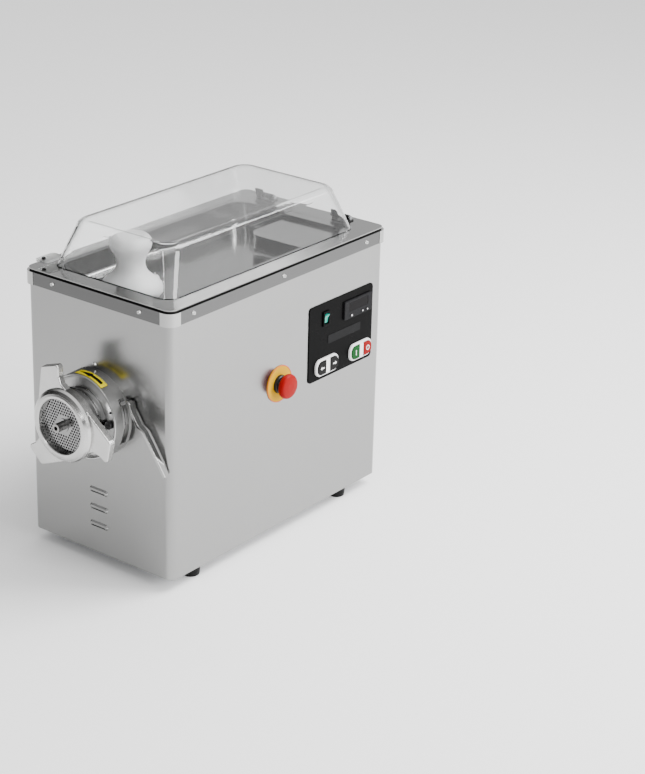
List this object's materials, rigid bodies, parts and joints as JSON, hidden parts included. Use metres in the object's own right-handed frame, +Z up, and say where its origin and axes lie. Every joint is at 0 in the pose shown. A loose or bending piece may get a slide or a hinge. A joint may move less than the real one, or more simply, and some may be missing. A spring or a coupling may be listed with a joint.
{
  "type": "electric meat grinder",
  "caption": "Countertop electric mincer: steel casing, clear domed tray lid, side controls and a front head with a lobed ring nut over a perforated plate.",
  "frame": {"origin": "middle of the footprint's bounding box, on the surface that the feet stand on", "axes": "-Y is the front, where the mincing head stands; +X is the right side with the controls; +Z is up"},
  "size_m": [0.32, 0.623, 0.5289],
  "materials": {
    "satin_steel": "satin brushed",
    "trim_steel": "satin brushed, darker trim",
    "cap_steel": "satin",
    "tray_steel": "satin",
    "cast_satin": "bead blasted casting",
    "polished_steel": "turned and polished",
    "plate_steel": "ground",
    "lever_steel": "polished flat bar",
    "inner_steel": "galvanised",
    "gear_steel": "machined",
    "gearbox_iron": "painted casting",
    "motor_grey": "satin paint",
    "compressor_black": "gloss paint",
    "condenser_fins": "mill",
    "copper": "drawn tube",
    "coil_windings": "enamelled copper",
    "black_rubber": "matt",
    "feet_rubber": "matt",
    "black_plastic": "fine texture",
    "fascia_black": "satin film",
    "thermostat_grey": "satin",
    "window_dark": "gloss",
    "key_grey": "satin",
    "rocker_green": "gloss",
    "bezel_white": "satin silver",
    "lens_white": "translucent",
    "button_black": "satin",
    "button_green": "satin",
    "button_red": "satin",
    "label_yellow": "printed",
    "mushroom_red": "satin",
    "clear_dome": "clear polycarbonate",
    "tab_clear": "translucent",
    "white_plastic": "satin",
    "control_grey": "satin"
  },
  "bodies": {
    "casing": {"casing_shell": "satin_steel", "base_plate": "inner_steel", "rear_cover": "satin_steel", "rim_bands": "trim_steel", "rim_corner_caps": "cap_steel", "tray_gasket": "black_rubber", "screws": "cap_steel", "feet": "feet_rubber", "cord_gland": "black_plastic", "front_support": "inner_steel", "unit_shelf": "inner_steel", "head_drum": "cast_satin", "drum_plug": "black_plastic", "cooling_sleeve": "condenser_fins", "evaporator_coil": "copper", "gearbox_housing": "gearbox_iron", "gearbox_bearings": "gear_steel", "motor_housing": "motor_grey", "motor_stator": "coil_windings", "compressor": "compressor_black", "condenser": "condenser_fins", "fan_shroud": "black_plastic", "control_box": "control_grey", "panel_fascia": "fascia_black", "thermostat_body": "thermostat_grey", "thermostat_window": "window_dark", "rocker_frame": "black_plastic", "button_bezels": "bezel_white", "button_lenses": "lens_white", "estop_label": "label_yellow", "estop_collar": "black_plastic"},
    "tray": {"feed_tray": "tray_steel", "feed_throat": "inner_steel", "lid_hinge_brackets": "black_plastic", "lid_hinge_pins": "inner_steel"},
    "lid": {"lid_dome": "clear_dome", "lid_hinge_leaves": "black_plastic", "lid_lift_tab": "tab_clear"},
    "pestle": {"pestle": "white_plastic"},
    "lock": {"lock_ring": "polished_steel", "lock_lever": "lever_steel"},
    "barrel": {"head_barrel": "polished_steel"},
    "plate": {"perforated_plate": "plate_steel"},
    "nut": {"ring_nut": "cast_satin"},
    "worm": {"worm_auger": "cast_satin", "knife": "plate_steel"},
    "output": {"output_shaft": "gear_steel"},
    "layshaft": {"layshaft": "gear_steel"},
    "rotor": {"motor_rotor": "gear_steel"},
    "fan": {"condenser_fan": "black_plastic"},
    "estop_stem": {"estop_stem": "control_grey"},
    "estop_head": {"estop_mushroom": "mushroom_red"},
    "reverse": {"reverse_button": "button_black"},
    "forward": {"forward_button": "button_black"},
    "start": {"start_button": "button_green"},
    "stop": {"stop_button": "button_red"},
    "rocker": {"rocker": "rocker_green"},
    "key_1": {"thermostat_key_1": "key_grey"},
    "key_2": {"thermostat_key_2": "key_grey"},
    "key_3": {"thermostat_key_3": "key_grey"}
  },
  "joints": [
    {"name": "tray_lift", "type": "slide", "parent": "casing", "child": "tray", "axis": [0, 0, 1], "range_m": [0, 0.12]},
    {"name": "lid_hinge", "type": "hinge", "parent": "tray", "child": "lid", "pos_m": [-0.011, 0.2665, 0.4649], "axis": [-1, 0, 0], "range_deg": [0, 95]},
    {"name": "pestle_lift", "type": "slide", "parent": "tray", "child": "pestle", "axis": [0, 0, 1], "range_m": [0, 0.006]},
    {"name": "lever_turn", "type": "hinge", "parent": "casing", "child": "lock", "pos_m": [-0.014, 0, 0.259], "axis": [0, -1, 0], "range_deg": [-50, 0]},
    {"name": "barrel_pull", "type": "slide", "parent": "casing", "child": "barrel", "axis": [0, -1, 0], "range_m": [0, 0.11]},
    {"name": "plate_shift", "type": "slide", "parent": "barrel", "child": "plate", "axis": [0, -1, 0], "range_m": [0, 0.008]},
    {"name": "nut_turn", "type": "hinge", "parent": "plate", "child": "nut", "pos_m": [-0.014, 0, 0.259], "axis": [0, -1, 0], "range_deg": [0, 720]},
    {"name": "worm_turn", "type": "hinge", "parent": "barrel", "child": "worm", "pos_m": [-0.014, 0, 0.259], "axis": [0, -1, 0], "continuous": true},
    {"name": "output_turn", "type": "hinge", "parent": "casing", "child": "output", "pos_m": [-0.014, 0, 0.259], "axis": [0, -1, 0], "continuous": true},
    {"name": "layshaft_turn", "type": "hinge", "parent": "casing", "child": "layshaft", "pos_m": [0.031, 0, 0.199], "axis": [0, -1, 0], "continuous": true},
    {"name": "rotor_turn", "type": "hinge", "parent": "casing", "child": "rotor", "pos_m": [-0.005, 0, 0.151], "axis": [0, -1, 0], "continuous": true},
    {"name": "fan_turn", "type": "hinge", "parent": "casing", "child": "fan", "pos_m": [-0.009, 0.2295, 0.326], "axis": [0, 1, 0], "continuous": true},
    {"name": "estop_press", "type": "slide", "parent": "casing", "child": "estop_stem", "axis": [-1, 0, 0], "range_m": [0, 0.004], "stiffness_N_per_m": 900},
    {"name": "estop_twist", "type": "hinge", "parent": "estop_stem", "child": "estop_head", "pos_m": [0.15, 0.027, 0.265], "axis": [1, 0, 0], "range_deg": [0, 45], "stiffness_Nm_per_rad": 0.05},
    {"name": "reverse_press", "type": "slide", "parent": "casing", "child": "reverse", "axis": [-1, 0, 0], "range_m": [0, 0.0025], "stiffness_N_per_m": 400},
    {"name": "forward_press", "type": "slide", "parent": "casing", "child": "forward", "axis": [-1, 0, 0], "range_m": [0, 0.0025], "stiffness_N_per_m": 400},
    {"name": "start_press", "type": "slide", "parent": "casing", "child": "start", "axis": [-1, 0, 0], "range_m": [0, 0.0025], "stiffness_N_per_m": 400},
    {"name": "stop_press", "type": "slide", "parent": "casing", "child": "stop", "axis": [-1, 0, 0], "range_m": [0, 0.0025], "stiffness_N_per_m": 400},
    {"name": "rocker_tilt", "type": "hinge", "parent": "casing", "child": "rocker", "pos_m": [0.134, 0.1405, 0.341], "axis": [0, -1, 0], "range_deg": [0, 16]},
    {"name": "key_1_press", "type": "slide", "parent": "casing", "child": "key_1", "axis": [-1, 0, 0], "range_m": [0, 0.0005], "stiffness_N_per_m": 200},
    {"name": "key_2_press", "type": "slide", "parent": "casing", "child": "key_2", "axis": [-1, 0, 0], "range_m": [0, 0.0005], "stiffness_N_per_m": 200},
    {"name": "key_3_press", "type": "slide", "parent": "casing", "child": "key_3", "axis": [-1, 0, 0], "range_m": [0, 0.0005], "stiffness_N_per_m": 200}
  ],
  "couplings": [
    {"joint": "plate_shift", "follows": "nut_turn", "m_per_rad": 0.00063662},
    {"joint": "layshaft_turn", "follows": "rotor_turn", "ratio": -0.33333},
    {"joint": "output_turn", "follows": "rotor_turn", "ratio": 0.12121},
    {"joint": "worm_turn", "follows": "rotor_turn", "ratio": 0.12121}
  ]
}
